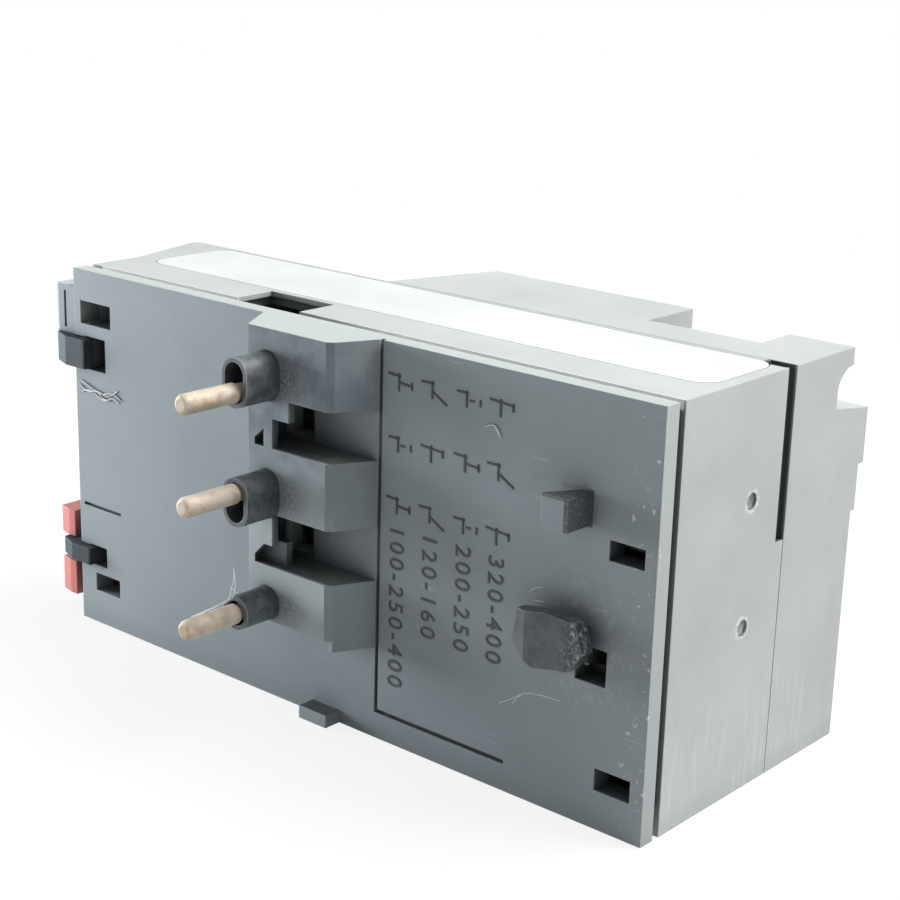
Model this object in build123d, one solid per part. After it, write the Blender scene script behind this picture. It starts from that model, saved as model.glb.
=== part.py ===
from build123d import *
import math
import os

# Axes: X runs from the front with the buttons (negative) to the rear face at zero.
# Y runs from the pin face at zero towards the cable terminals, Z runs up through the width.

# Overall body
body_length = 86.8
body_width = 45.0
wall = 1.8
running_gap = 0.05
seat_gap = 0.3
block_joint = 0.1
middle = body_width / 2

# Pin plate, the cover that faces the contactor
plate_thick = 2.65
plate_edge = 2.05
plate_joint = 0.4
joint_inset = 0.8

# Case, with a room for the terminal module behind the slanted nose
case_far = 22.7
nose_out = 3.2
nose_start = 10.0
nose_end = case_far - 1.3
deep_floor = case_far - wall
module_deep = 15.5
module_back = body_length - module_deep
deep_front = module_back - wall
shallow_floor = 12.6
front_wall = 1.8
rear_slot = (case_far - 1.5, middle + 4.0, 3.0)
side_window = (61.0, 51.0, 8.4)
window_wall = 0.6
label_area = (body_length - 2.7, 1.7, 9.4, case_far - 0.7)
label_thick = 0.2

# Phases: centre heights of the three power circuits
phase_pitch = 14.3
phase_z = (middle - phase_pitch, middle, middle + phase_pitch)
partition_z = (middle - phase_pitch / 2, middle + phase_pitch / 2)
partition_thick = 1.4
partition_front = 43.4

# Connecting pins with their sleeves and bosses
pin_x = 47.6
pin_r = 1.12
pin_neck = 0.2
pin_tip = 17.2
pin_z = (middle - 8.4, middle + 5.25, middle + 16.3)
pin_side = (0, -1, 1)
pin_travel = 2.1
pin_rest = 0.08
foot_half = 2.2
foot_thick = 1.5
sleeve_z = [z + side * pin_travel / 2 for z, side in zip(pin_z, pin_side)]
sleeve_play = 0.28
sleeve_bore = 2 * (pin_r + sleeve_play)
sleeve_wall = 0.5
sleeve_out = 9.8
flange_thick = 1.2
flange_wide = 0.8
boss_out = 5.1
boss_x = (53.5, 50.5, 38.8, 38.1, 36.0)
boss_z = ((middle - 10.5, middle - 4.1), (middle + 2.0, middle + 9.4), (middle + 15.0, body_width))
web_edge = 46.8
web_thick = 0.9
web_hole_gap = 0.2
end_slots = (
    (body_length - 1.2, body_length - 6.8, body_width - 6.6, body_width - 3.8),
    (body_length - 2.8, body_length - 7.4, 4.3, 6.6),
    (5.6, 1.4, middle + 6.1, middle + 8.2),
    (6.0, 1.6, 4.2, 6.6),
)

# Terminal block
block_front = ((56.0, 22.7), (53.8, 29.5), (51.8, 36.0))
block_far = 36.6
block_step = (26.4, 37.4)
notch_front = 22.4
notch_y = 28.6
notch_z = body_width - 6.0
ledge = (14.0, 1.8, 7.4, 0.7)
flange_x = 7.9
flange_far = 34.4

# Power terminals: screw along X, clamp cage, conductor bar
power_y = 30.3
power_screw_r = 2.0
power_head_r = 3.2
power_head = 2.4
power_seat = 49.6
power_tip = 41.0
power_bar = 1.5
power_bar_half = 2.7
power_cage = (45.2, 32.8, 4.6, 3.5, 1.5)
power_lift = 2.8

# Auxiliary terminals, the same idea at a smaller size
aux_z = (middle - 15.0, middle - 5.0, middle + 5.0, middle + 15.0)
aux_y = 17.6
aux_screw_r = 1.5
aux_head_r = 2.6
aux_head = 1.6
aux_seat = body_length - 2.0
aux_tip = aux_seat - 4.4
aux_bar = 0.8
aux_well = aux_head_r + 0.3
aux_cage = (aux_seat - 2.8, aux_seat - 11.6, 3.3, 2.5, 1.1)
aux_lift = 1.4
aux_entry = (aux_tip - 1.1, aux_cage[1] + aux_cage[4], 2.4)

# Front: fascia, buttons, dial and clear cover, each counted from the end of the body
fascia_back = body_length + 0.1
fascia_thick = 2.0
fascia_front = fascia_back + fascia_thick
fascia_y = (3.9, 13.0)
arm_front = fascia_front + 1.3
arm_proud = 1.0
arm_slope = 2.7
arm_end = body_length - 2.8
arm_z = ((7.8, 9.9), (body_width - 12.0, body_width - 8.4))
lug_z = (arm_z[1][1], body_width - 2.4)
lug_front = fascia_front + 1.8
lug_groove = (fascia_back + 1.7, 0.4, 0.5)
stop_z = (2.4, 13.6)
stop_y = (0.3, 8.8)
stop_front = fascia_front + 2.6
stop_slope = (1.9, 0.45)
stop_gap = (1.0, 0.3)
stop_travel = 1.4
dial_y, dial_z, dial_r = 8.1, middle - 0.1, 3.0
dial_x = (fascia_front + 1.0, body_length + 0.6)
dial_shaft_r = 1.6
dial_end = body_length - 6.1
cam_thick = 1.9
reset_y, reset_z, reset_r = 8.4, body_width - 5.0, 2.7
reset_front = fascia_front + 2.0
plunger_x = (body_length + 1.7, body_length - 3.8)
stem_r = 1.5
stem_end = plunger_x[1] - 0.7
reset_travel = 1.8
test_y, test_z, test_r = 8.6, middle + 7.1, 1.2
test_x = (fascia_front + 0.9, body_length - 3.3)
test_travel = 1.2
flag_y = (4.2, 6.2)
flag_x = (body_length - 2.1, body_length - 2.9)
cover_z = (middle - 7.0, middle + 10.1)
cover_y = (4.0, 12.2)
cover_front = fascia_front + 2.1
cover_hinge = fascia_front + 1.3
cover_wall = 0.8

# Overload mechanism
strip_y = (13.2, 17.4)
strip_thick = 0.8
strip_root = 10.5
strip_end = 45.6
comb_x = (45.0, 43.6)
trip_travel = 1.6
bulkhead_x = (52.6, 51.4)
lever_x, lever_z = deep_front - 3.5, middle + 1.5
lever_y = (8.0, 10.4)
lever_bore = 1.5
carrier_x = (aux_tip - 3.8, aux_tip - 6.5)
contact_y = 8.7
rail_z = (middle - 10.0, middle + 10.0)


def block(x0, x1, y0, y1, z0, z1):
    """Box between two opposite corners, with X counted back from the rear face."""
    size = (abs(x0 - x1), abs(y1 - y0), abs(z1 - z0))
    return Pos(-(x0 + x1) / 2, (y0 + y1) / 2, (z0 + z1) / 2) * Box(*size)


def rod_x(x0, x1, y, z, r):
    """Round bar along X."""
    return Pos(-(x0 + x1) / 2, y, z) * Rot(0, 90, 0) * Cylinder(r, abs(x0 - x1))


def rod_y(x, y0, y1, z, r):
    """Round bar along Y."""
    return Pos(-x, (y0 + y1) / 2, z) * Rot(90, 0, 0) * Cylinder(r, abs(y1 - y0))


def rod_z(x, y, z0, z1, r):
    """Round bar along Z."""
    return Pos(-x, y, (z0 + z1) / 2) * Cylinder(r, abs(z1 - z0))


def prism_z(points, z0, z1):
    """Outline of X and Y pairs raised along Z."""
    face = make_face(Polyline(*[(-x, y, z0) for x, y in points], close=True))
    return extrude(face, amount=z1 - z0, dir=(0, 0, 1))


def prism_y(points, y0, y1):
    """Outline of X and Z pairs drawn out along Y."""
    face = make_face(Polyline(*[(-x, y0, z) for x, z in points], close=True))
    return extrude(face, amount=y1 - y0, dir=(0, 1, 0))


def prism_x(points, x0, x1):
    """Outline of Y and Z pairs drawn out along X, towards the front."""
    face = make_face(Polyline(*[(-x1, y, z) for y, z in points], close=True))
    return extrude(face, amount=x0 - x1, dir=(-1, 0, 0))


def slot_y(x, z, across, tall, y0, y1):
    """Bar with an upright obround section along Y."""
    flat = max(tall - across, 0.0)
    bar = rod_y(x, y0, y1, z + flat / 2, across / 2)
    if flat > 0:
        bar += rod_y(x, y0, y1, z - flat / 2, across / 2)
        bar += block(x + across / 2, x - across / 2, y0, y1, z - flat / 2, z + flat / 2)
    return bar


def bar_between(x0, z0, x1, z1, half, y0, y1):
    """Flat bar of a given half width from one point of the XZ plane to another."""
    run = math.hypot(x1 - x0, z1 - z0)
    ux, uz = (x1 - x0) / run * half, (z1 - z0) / run * half
    points = [(x0 - uz, z0 + ux), (x1 - uz, z1 + ux), (x1 + uz, z1 - ux), (x0 + uz, z0 - ux)]
    return prism_y(points, y0, y1)


def turned_x(outline, y, z):
    """Turned piece about an axis along X; its outline is X and radius pairs."""
    face = make_face(Polyline(*[(-x, r, 0) for x, r in outline], close=True))
    return Pos(0, y, z) * revolve(face, Axis.X, 360)


def turned_y(outline, x, z):
    """Turned piece about an axis along Y; its outline is Y and radius pairs."""
    face = make_face(Polyline(*[(r, y, 0) for y, r in outline], close=True))
    return Pos(-x, 0, z) * revolve(face, Axis.Y, 360)


def domed(front, radius, drop):
    """Outline of a turned front end with softly sloped shoulders."""
    return [(front, 0), (front, radius - 1.3 * drop), (front - drop, radius)]


def round_edges(shape, radius, along, near):
    """Rounds the edges parallel to an axis whose middle lies near a point."""
    target = Vector(*near)
    chosen = [e for e in shape.edges().filter_by(along) if (e.center() - target).length < 0.8]
    return fillet(chosen, radius) if chosen else shape


def sleeve_tall(index):
    """Height of a sleeve's bore: the first is round, the others leave travel."""
    return 2 * (pin_r + pin_rest) + pin_travel if pin_side[index] else sleeve_bore


def nose_line(y):
    """X of the slanted nose at a given depth."""
    return body_length + nose_out * (y - nose_start) / (nose_end - nose_start)


# Outline of the case seen from its side
case_near = plate_thick + plate_joint
nose_x = body_length + nose_out
case_points = [
    (0, case_near),
    (0, case_far),
    (nose_x, case_far),
    (nose_x, nose_end),
    (body_length, nose_start),
    (body_length, case_near),
]
inner_wall = body_width - wall


def make_case():
    """Main case: open shell with partitions, module room and front openings."""
    case = prism_z(case_points, 0, body_width)
    corner = (-nose_x, case_far, middle)
    case = round_edges(case, 1.0, Axis.Z, corner)
    shallow_front = body_length - front_wall
    case -= [
        block(deep_front, wall, case_near, deep_floor, wall, inner_wall),
        block(shallow_front, deep_front, case_near, shallow_floor, wall, inner_wall),
        block(nose_x + 1, module_back, shallow_floor, deep_floor, wall, inner_wall),
    ]
    # Phase partitions, the bulkhead in front of them and the ledge behind the pin feet
    rib_top = case_near + seat_gap
    half = partition_thick / 2
    ribs = [block(partition_front, wall, rib_top, deep_floor, z - half, z + half) for z in partition_z]
    front, back = bulkhead_x
    bulkhead = block(front, back, rib_top, deep_floor, wall, inner_wall)
    ribs.append(bulkhead - block(front + 1, back - 1, 17.9, deep_floor, middle - 1.1, middle + 4.9))
    ledge_y = plate_thick + seat_gap + foot_thick + seat_gap
    ribs.append(block(52.0, 45.5, ledge_y, ledge_y + 1.2, 9.0, inner_wall))
    ribs.append(block(46.0, 43.2, deep_floor - 0.5, deep_floor, wall, inner_wall))
    # Bearing post of the trip lever
    ribs.append(rod_y(lever_x, lever_y[1] + 0.2, deep_floor, lever_z, 2.6))
    ribs.append(rod_y(lever_x, lever_y[0] - 1.0, deep_floor, lever_z, lever_bore))
    case += ribs
    # Slots for the power conductor bars and entries for the control wires
    x0, x1 = power_tip + 0.1, power_tip - power_bar - 0.4
    half = power_bar_half + 0.2
    cuts = [block(x0, x1, deep_floor, case_far, z - half, z + half) for z in phase_z]
    x0, x1, half = aux_entry
    cuts += [block(x0, x1, deep_floor, case_far, z - half, z + half) for z in aux_z]
    # Front wall openings
    out = body_length + 1
    cuts.append(block(out, shallow_front, case_near, stop_y[1] + 0.4, stop_z[0] - 0.3, stop_z[1] + 0.3))
    cuts.append(rod_x(out, shallow_front, dial_y, dial_z, dial_shaft_r + running_gap))
    cuts.append(rod_x(out, shallow_front, reset_y, reset_z, reset_r + 0.1))
    cuts.append(rod_x(out, shallow_front, test_y, test_z, test_r + 0.1))
    cuts.append(flag_window(out, shallow_front))
    # Window in the thinned upper side, recess for the label, slot in the rear face
    front, back, far = side_window
    cuts.append(block(front, back, case_near, far, inner_wall, body_width))
    cuts.append(block(front + 1, back - 1, case_near, far + 1, inner_wall, body_width - window_wall))
    cuts.append(label_shape(label_area, 0.1, label_thick))
    near, low, deep = rear_slot
    cuts.append(block(deep, 0, near, case_far, low, body_width))
    cuts += [rod_x(0.3, 0, 16.0, z, 0.9) for z in (middle - 3.9, middle + 9.7)]
    return case - cuts


def flag_window(x0, x1):
    """Opening through which the trip flag shows."""
    return block(x0, x1, flag_y[0] + 0.2, flag_y[1] - 0.2, test_z - 1.3, test_z + 1.3)


def make_module():
    """Terminal module in the nose of the case: four clamp pockets with driver wells."""
    near, far = shallow_floor + running_gap, deep_floor - running_gap
    back = module_back + running_gap
    outline = [(back, near), (nose_line(near), near), (nose_line(far), far), (back, far)]
    module = prism_z(outline, wall + running_gap, inner_wall - running_gap)
    # Rails under the contact carrier
    rail_end = contact_y + 1.9
    module += [block(carrier_x[0] + 1.9, back + 0.3, rail_end, near, z - 0.7, z + 0.7) for z in rail_z]
    x0, x1, half, deep, thick = aux_cage
    well = aux_well
    cuts = []
    for z in aux_z:
        wide = half + 0.3
        cuts.append(block(x0 + aux_lift + 0.2, x1 - 0.4, aux_y - deep - 0.6, far, z - wide, z + wide))
        cuts.append(block(nose_x + 1, aux_seat, aux_y - well, aux_y + well, z - well, z + well))
        cuts.append(rod_x(aux_seat, x0, aux_y, z, aux_screw_r + 0.12))
        cuts.append(block(aux_tip + 0.1, aux_tip - aux_bar - 0.3, near - 3, aux_y, z - 2.0, z + 2.0))
    return module - cuts


def label_shape(area, grow, thick):
    """Rounded rectangle on the upper side, used for the label and its recess."""
    x0, x1, y0, y1 = area
    plate = block(x0 + grow, x1 - grow, y0 - grow, y1 + grow, body_width - thick, body_width)
    return fillet(plate.edges().filter_by(Axis.Z), 2.6 + grow)


def boss_points(side):
    """Outline of a pin boss in the XY plane, optionally only its right-hand slope."""
    foot, left, right, bevel, end = boss_x
    if side:
        return [(bevel + 0.6, 0), (bevel + 0.6, -boss_out + 0.6), (bevel, -boss_out + 0.6), (end, 0)]
    return [(foot, 0), (left, -boss_out), (right, -boss_out), (bevel, -boss_out + 0.6), (end, 0)]


def make_plate():
    """Pin plate with its bosses, webs, hooks, slots and the parting groove."""
    plate = block(body_length, 0, 0, plate_edge, 0, body_width)
    inset = joint_inset
    plate += block(body_length - inset, inset, plate_edge, plate_thick, inset, body_width - inset)
    ring = block(body_length - inset, inset, plate_thick, case_near, inset, body_width - inset)
    ring -= block(body_length - wall, wall, plate_thick, case_near, wall, inner_wall)
    parts = [ring]
    parts += [prism_z(boss_points(False), z0, z1) for z0, z1 in boss_z]
    parts.append(prism_z(boss_points(True), boss_z[0][0] - 1.3, boss_z[0][0]))
    # Webs that join the bosses on their left, each with a three-cornered notch
    left, edge, post = boss_x[1], web_edge, boss_x[1] - 2.4
    side_wall = [(boss_x[0], 0), (left, -boss_out), (left - 1.0, -boss_out), (boss_x[0] - 1.6, 0)]
    parts.append(prism_z(side_wall, boss_z[0][0], body_width))
    low, high = boss_z[1][1], boss_z[2][0]
    web = [(left, high), (edge, high), (edge, low), (post, low), (post, low + 2.0)]
    web += [(left - 0.1, low), (left, low)]
    parts.append(prism_y(web, -boss_out, -boss_out + web_thick))
    low, high = boss_z[0][1], boss_z[1][0]
    cut = low + 2.4
    web = [(left, high), (edge, high), (edge, cut), (post, cut), (left - 0.1, low), (left, low)]
    parts.append(prism_y(web, -boss_out, -boss_out + web_thick))
    thick_z = boss_z[2][0] - 2.3
    parts.append(block(left, web_edge - 2.5, -boss_out, -boss_out + web_thick, thick_z, boss_z[2][0]))
    near = -boss_out + 1.5
    parts.append(block(left, web_edge - 0.7, near, near + web_thick, low, low + 2.6))
    # Small latch nose that points to the front, and the foot tab
    nose = [(11.3, -3.2), (11.3, -3.6), (8.1, -3.6), (8.1, 0), (9.3, 0)]
    parts.append(prism_z(nose, middle + 9.0, middle + 12.4))
    parts.append(block(45.5, 41.3, -2.2, 0, 0, 1.5))
    plate += parts
    # Hollows behind the webs run through the plate
    cuts = []
    for (low_z0, low_z1), (high_z0, high_z1) in zip(boss_z, boss_z[1:]):
        z0, z1 = low_z1 + web_hole_gap, high_z0 - web_hole_gap
        cuts.append(block(left - 0.6, 45.5, -1.0, plate_thick, z0, z1))
    # Seats for the sleeves
    across = sleeve_bore + 2 * sleeve_wall
    grow = 2 * flange_wide + 0.1
    for index, z in enumerate(sleeve_z):
        tall = sleeve_tall(index) + 2 * sleeve_wall
        cuts.append(slot_y(pin_x, z, across + 0.06, tall + 0.06, -boss_out - 1, plate_thick))
        cuts.append(slot_y(pin_x, z, across + grow, tall + grow, plate_thick - flange_thick, plate_thick))
    # Slots along both ends and the hole under the latch hook
    cuts += [block(x0, x1, 0, plate_thick, z0, z1) for x0, x1, z0, z1 in end_slots]
    cuts.append(block(9.0, 5.2, 0, plate_thick, middle - 7.1, middle - 3.3))
    # Catches of the fascia arms
    for (z0, z1), far in zip(arm_z, (arm_end - 2.2, arm_end - 2.9)):
        cuts.append(block(body_length, arm_end + 0.8, 0, 0.6, z0 - 0.15, z1 + 0.15))
        cuts.append(block(arm_end + 0.9, far, 0, plate_thick, z0 - 0.15, z1 + 0.3))
    # Parting groove around the legend and the short slit at the front
    cuts.append(block(boss_x[4], boss_x[4] - 0.5, 0, 0.5, 3.0, body_width))
    cuts.append(block(boss_x[4], 17.6, 0, 0.5, 3.0, 3.5))
    cuts.append(block(body_length - 0.9, body_length - 7.9, 0, 0.4, 15.2, 15.6))
    return plate - cuts


def make_sleeve(index):
    """Insulating sleeve round one pin, with a flange behind the plate."""
    z, tall = sleeve_z[index], sleeve_tall(index)
    across = sleeve_bore + 2 * sleeve_wall
    high = tall + 2 * sleeve_wall
    body = slot_y(pin_x, z, across, high, -sleeve_out, plate_thick)
    grow = 2 * flange_wide
    near = plate_thick - flange_thick
    body += slot_y(pin_x, z, across + grow, high + grow, near, plate_thick)
    return body - slot_y(pin_x, z, sleeve_bore, tall, -sleeve_out - 1, plate_thick + 1)


def make_pin(index):
    """Connecting pin with a blunt tip and a thinner shank, on a square foot."""
    z = pin_z[index]
    foot_y = plate_thick + seat_gap
    shank_r, step = pin_r - pin_neck, sleeve_out + 0.15
    outline = [(-pin_tip, 0), (-pin_tip, pin_r - 0.45), (-pin_tip + 0.15, pin_r - 0.16)]
    outline += [(-pin_tip + 0.45, pin_r), (-step, pin_r), (-step, shank_r), (foot_y, shank_r), (foot_y, 0)]
    foot = block(pin_x + 2.4, pin_x - 2.4, foot_y, foot_y + foot_thick, z - foot_half, z + foot_half)
    return turned_y(outline, pin_x, z) + foot


def make_hook():
    """Dark latch hook: a faceted head on a short stem, rooted in a hole of the plate."""
    outline = [(15.1, -4.1), (14.2, -0.3), (10.3, 0.4), (6.6, 0.2), (5.6, -2.7), (7.2, -4.9), (11.8, -5.8)]
    head = prism_y([(x, middle + z) for x, z in outline], -3.6, -1.9)
    head -= prism_z([(15.5, -2.4), (15.5, -4.0), (11.9, -4.0)], middle - 12.5, middle + 7.5)
    outline = [(12.4, -4.9), (12.2, -1.2), (7.6, -1.2), (7.4, -4.9)]
    stem = prism_y([(x, middle + z) for x, z in outline], -1.9, 0)
    return head + stem + block(8.9, 7.4, 0, plate_thick, middle - 5.3, middle - 3.4)


def block_outline(far, inset):
    """Outline of the terminal block in the XY plane."""
    front = [(x - inset, y) for x, y in block_front]
    return front + [(front[-1][0] - 0.6, far), (inset, far), (inset, front[0][1])]


def make_block():
    """Terminal block: stepped outline, three clamp pockets and a hollow rear half."""
    low = case_far + block_joint
    body = prism_z(block_outline(block_far, 0), 0, body_width)
    body += [
        prism_z(block_outline(block_step[1], 0), block_step[0], body_width),
        block(ledge[0], 0, block_far, block_far + ledge[1], notch_z - ledge[2], notch_z - ledge[3]),
    ]
    # Corner notch and the parting line next to the case
    out = block_far + 2.4
    notch = [(notch_y, notch_z + 0.2), (out, notch_z - 1.3), (out, body_width), (notch_y, body_width)]
    body -= [
        block(60, -1, case_far, low, -1, body_width + 1),
        prism_x(notch, notch_front, 0),
    ]
    turns = [math.radians(a) for a in range(0, 91, 15)]
    root = flange_far - 2.9
    curve = [(flange_far - 2.9 * math.cos(a), notch_z + 1.6 + 2.5 * math.sin(a)) for a in turns]
    keep = [(notch_y, notch_z), (root, notch_z - 0.4)] + curve
    keep += [(flange_far, body_width), (notch_y, body_width)]
    foot = block_front[0][0] - joint_inset
    body += [
        block(foot, joint_inset, case_far, low, joint_inset, body_width - joint_inset),
        prism_x(keep, flange_x, 0),
    ]
    # Clamp pockets, screw wells, wire entries and slots for the conductor bars
    x0, x1, half, deep, thick = power_cage
    cuts = []
    for z in phase_z:
        y0, y1 = power_y - deep - 0.5, power_y + deep + 0.5
        front = x0 + power_lift + 0.3
        cuts.append(block(front, x1 - 0.4, y0, y1, z - half - 0.3, z + half + 0.3))
        cuts.append(rod_x(60, power_seat, power_y, z, power_head_r + 0.4))
        cuts.append(rod_x(power_seat, x0, power_y, z, power_screw_r + 0.12))
        slot_x = power_tip - power_bar - 0.3
        cuts.append(block(slot_x, x1 + thick - 0.3, power_y, 40, z - 3.1, z + 3.1))
        wide = power_bar_half + 0.2
        cuts.append(block(power_tip + 0.1, slot_x - 0.1, case_far, power_y, z - wide, z + wide))
    # Hollow rear half with ribs
    hollow = block(30.6, 2.0, case_far, block_far - 2.2, 2.0, notch_z - 2.4)
    hollow -= [block(31, 1, case_far, 35, z - 0.7, z + 0.7) for z in partition_z]
    return body - cuts - hollow


def make_fascia():
    """Front fascia: panel with openings, corner lug and two snap arms."""
    y0, y1 = fascia_y
    outline = [(fascia_front, y0), (fascia_back, y0), (fascia_back, nose_start)]
    outline += [(nose_line(y1) + fascia_back - body_length, y1), (fascia_front, y1)]
    panel = prism_z(outline, 0.7, body_width - 0.7)
    panel = fillet(panel.edges().filter_by(Axis.Z).group_by(Axis.X)[0], 0.7)
    # Corner lug with a groove along its foot
    lug = [(lug_front, y0 + 2.0), (lug_front, 0.5), (lug_front - 0.6, 0.2)]
    lug += [(fascia_back, 0.2), (fascia_back, y0 + 2.0)]
    panel += prism_z(lug, *lug_z)
    back, wide, deep = lug_groove
    panel -= block(back + wide, back, 0, 0.2 + deep, lug_z[0] + 0.8, lug_z[1] - 0.7)
    for z0, z1 in arm_z:
        points = [
            (arm_front, y0 + 3.0),
            (arm_front, 0),
            (arm_front - arm_slope, -arm_proud),
            (arm_end, -arm_proud),
            (arm_end, 2.0),
            (arm_end + 0.7, 2.0),
            (arm_end + 0.7, 0.5),
            (fascia_back, 0.5),
            (fascia_back, y0 + 3.0),
        ]
        panel += prism_z(points, z0, z1)
    # Two windows leave a bar between the halves of the stop button
    bar0, bar1 = arm_z[0]
    out, inside = lug_front + 1, fascia_back - 1
    window_far = stop_y[1] + 0.3
    panel -= block(out, inside, -arm_proud - 1, window_far, stop_z[0] - 0.3, bar0 - 0.02)
    panel -= block(out, inside, -arm_proud - 1, window_far, bar1 + 0.02, stop_z[1] + 0.3)
    panel -= rod_x(out, inside, dial_y, dial_z, dial_r + 0.2)
    panel -= rod_x(out, inside, reset_y, reset_z, reset_r + 0.1)
    panel -= rod_x(out, inside, test_y, test_z, test_r + 0.1)
    panel -= flag_window(out, inside)
    # Ears that carry the clear cover
    for z in (cover_z[0] - 0.7, cover_z[1] + 0.1):
        ear = block(cover_hinge + 0.8, fascia_front, cover_y[1] - 0.8, cover_y[1] + 0.8, z, z + 0.6)
        panel += ear - rod_z(cover_hinge, cover_y[1], z - 1, z + 2, 0.5 + running_gap)
    return panel


def make_cover():
    """Clear cover: thin shell with rims, hinge barrel and pintles."""
    z0, z1 = cover_z
    y0, y1 = cover_y
    shell = block(cover_front, fascia_front + 0.1, y0, y1 - 0.9, z0, z1)
    shell = fillet(shell.edges().filter_by(Axis.X), 0.8)
    thin = cover_wall
    shell -= block(cover_front - thin, fascia_back, y0 + thin, y1, z0 + thin, z1 - thin)
    shell += block(cover_front, cover_hinge, y1 - 1.8, y1, z0, z1)
    shell += rod_z(cover_hinge, y1, z0, z1, cover_front - cover_hinge)
    shell += rod_z(cover_hinge, y1, z0 - 0.6, z1 + 0.6, 0.5)
    return shell


def make_stop():
    """Stop button: two red pads beside the snap arm, joined inside the case."""
    z0, z1 = stop_z
    y0, y1 = stop_y
    bar0, bar1 = arm_z[0]
    inner = body_length - front_wall - 0.3
    button = None
    for low, high in ((z0, bar0 - stop_gap[0]), (bar1 + stop_gap[1], z1)):
        back, (run, drop) = body_length + stop_travel + 0.2, stop_slope
        outline = [(stop_front, y1), (stop_front, y0 + drop), (stop_front - run, y0), (back, y0), (back, y1)]
        cap = prism_z(outline, low, high)
        cap += block(stop_front - 1.0, inner - 1.6, case_near + 0.3, y1, low, high)
        button = cap if button is None else button + cap
    button += block(inner, inner - 1.6, case_near + 0.3, y1, z0, z1)
    prong_end = aux_tip + stop_travel + seat_gap
    return button + block(inner, prong_end, 5.0, 7.4, 8.0, 10.4)


def make_dial():
    """Setting dial with a driver slot, shaft and eccentric cam."""
    front, back = dial_x
    outline = domed(front, dial_r, 0.4) + [(back, dial_r), (back, 0)]
    dial = turned_x(outline, dial_y, dial_z)
    half = dial_r * 0.7
    dial -= block(front + 1, front - 0.9, dial_y - 0.45, dial_y + 0.45, dial_z - half, dial_z + half)
    tip, base = dial_y - dial_r * 0.75, dial_y - dial_r * 0.4
    arrow = [(tip, dial_z), (base, dial_z - 0.7), (base, dial_z + 0.7)]
    dial -= prism_x(arrow, front + 1, front - 0.4)
    dial += rod_x(back, dial_end, dial_y, dial_z, dial_shaft_r)
    return dial + rod_x(dial_end + cam_thick, dial_end, dial_y + 0.7, dial_z, 2.9)


def make_reset_plunger():
    """Plunger that carries the reset knob into the case."""
    front, back = plunger_x
    plunger = rod_x(front, back, reset_y, reset_z, reset_r)
    plunger += rod_x(back + 1.6, back + 0.6, reset_y, reset_z, reset_r + 0.4)
    return plunger - rod_x(front + 1, back - 1, reset_y, reset_z, stem_r + running_gap)


def make_reset_button():
    """Reset knob with a finger slot, stem and retaining collar."""
    base = plunger_x[0] + running_gap
    outline = domed(reset_front, reset_r, 0.5) + [(base, reset_r), (base, 0)]
    knob = turned_x(outline, reset_y, reset_z)
    y, z, half = reset_y, reset_z, reset_r - 0.7
    knob -= block(reset_front + 1, reset_front - 0.7, y - half, y + half, z - 0.45, z + 0.45)
    knob += rod_x(base, stem_end, reset_y, reset_z, stem_r)
    return knob + rod_x(plunger_x[1] - running_gap, stem_end, reset_y, reset_z, stem_r + 0.8)


def make_test_button():
    """Small test plunger with a shoulder inside the case."""
    front, back = test_x
    shoulder = test_r + 0.6
    outline = domed(front, test_r, 0.3) + [(back + 1.2, test_r), (back + 1.2, shoulder)]
    outline += [(back + 0.4, shoulder), (back + 0.4, test_r), (back, test_r), (back, 0)]
    return turned_x(outline, test_y, test_z)


def make_strip(z):
    """Bimetal strip with a round root bead."""
    y0, y1 = strip_y
    half = strip_thick / 2
    strip = block(strip_end, strip_root, y0, y1, z - half, z + half)
    strip += rod_y(strip_root, y0, y1, z, 0.9)
    return strip


def make_heater(z):
    """Flat heater winding round the strip, with its lead to the pin foot."""
    low, high = z - 2.3, z + 3.3
    near, far, thick, wide = 11.3, 19.1, 0.9, 1.5
    start, pitch, turns = 37.5, 3.2, 7
    coil = None
    for k in range(turns):
        x = start - k * pitch
        turn = block(x, x - wide, far - thick, far, low, high)
        turn += block(x, x - wide, near, far, low, low + thick)
        turn += block(x, x - wide, near, far, high - thick, high)
        if k < turns - 1:
            step = [(x, low), (x - wide, low), (x - wide - pitch, high), (x - pitch, high)]
            turn += prism_y(step, near, near + thick)
        coil = turn if coil is None else coil + turn
    last = start - (turns - 1) * pitch - wide
    coil += block(last + 0.2, strip_root + 0.5, far - thick, far, z - 1.0, z + 1.0)
    run_y = 6.2
    coil += block(start, start - wide, run_y, near + 0.2, high - 2.2, high)
    coil += block(44.8, start - wide, run_y, run_y + 1.1, high - 2.2, high)
    return coil + block(44.8, 43.9, 3.4, run_y + 1.1, high - 2.2, high)


def make_terminal_bar(z):
    """Conductor bar from the strip's root along the floor and up into the clamp."""
    bar_x, half = power_tip - 0.1, power_bar_half
    bar = block(bar_x, 7.5, 19.4, deep_floor - seat_gap, z - half, z + half)
    bar += block(bar_x, bar_x - power_bar, 19.4, power_y + 3.1, z - half, z + half)
    root = block(strip_root + 0.5, 7.5, 12.8, 19.6, z - 2.4, z + 2.4)
    root -= rod_y(strip_root, 12, strip_y[1] + 0.3, z, 0.9 + running_gap)
    root -= block(strip_root + 1, strip_root, 12, strip_y[1] + 0.3, z - 0.85, z + 0.85)
    return bar + root


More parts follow.
